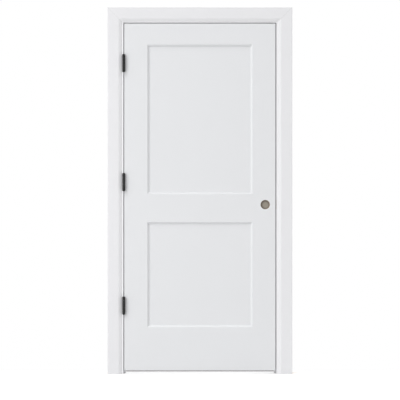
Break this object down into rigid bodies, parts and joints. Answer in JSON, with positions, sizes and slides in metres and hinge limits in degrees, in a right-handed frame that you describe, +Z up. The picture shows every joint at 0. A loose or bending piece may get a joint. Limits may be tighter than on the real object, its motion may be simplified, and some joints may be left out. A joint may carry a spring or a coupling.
{
  "type": "prehung interior door",
  "caption": "Prehung interior door: a white recessed-panel slab on black butt hinges in a jamb set with stops and mitred casing, bored for a lockset.",
  "frame": {"origin": "on the hinge jamb's outer face, at floor level, halfway through the jamb's depth", "axes": "+X from the hinge jamb to the strike jamb, +Y from the pull side with the hinge knuckles to the push side, +Z up"},
  "size_m": [1.0824, 0.1445, 2.1482],
  "materials": {
    "slab_paint": "white primed and painted fibreboard, satin",
    "frame_paint": "white primed and painted pine, satin",
    "casing_paint": "white primed and painted fibreboard, satin",
    "hinge_black": "matt black coated steel"
  },
  "bodies": {
    "frame": {"hinge_jamb": "frame_paint", "strike_jamb": "frame_paint", "head_jamb": "frame_paint", "hinge_stop": "frame_paint", "strike_stop": "frame_paint", "head_stop": "frame_paint", "front_casing_hinge_leg": "casing_paint", "front_casing_strike_leg": "casing_paint", "front_casing_head": "casing_paint", "back_casing_hinge_leg": "casing_paint", "back_casing_strike_leg": "casing_paint", "back_casing_head": "casing_paint", "top_hinge_jamb_leaf": "hinge_black", "top_hinge_pin": "hinge_black", "middle_hinge_jamb_leaf": "hinge_black", "middle_hinge_pin": "hinge_black", "bottom_hinge_jamb_leaf": "hinge_black", "bottom_hinge_pin": "hinge_black"},
    "door": {"hinge_stile": "slab_paint", "lock_stile": "slab_paint", "top_rail": "slab_paint", "lock_rail": "slab_paint", "bottom_rail": "slab_paint", "upper_panel": "slab_paint", "lower_panel": "slab_paint", "top_hinge_slab_leaf": "hinge_black", "middle_hinge_slab_leaf": "hinge_black", "bottom_hinge_slab_leaf": "hinge_black"}
  },
  "joints": [
    {"name": "door_swing", "type": "hinge", "parent": "frame", "child": "door", "pos_m": [0.0216, -0.0685, 1], "axis": [0, 0, -1], "range_deg": [0, 180]}
  ]
}
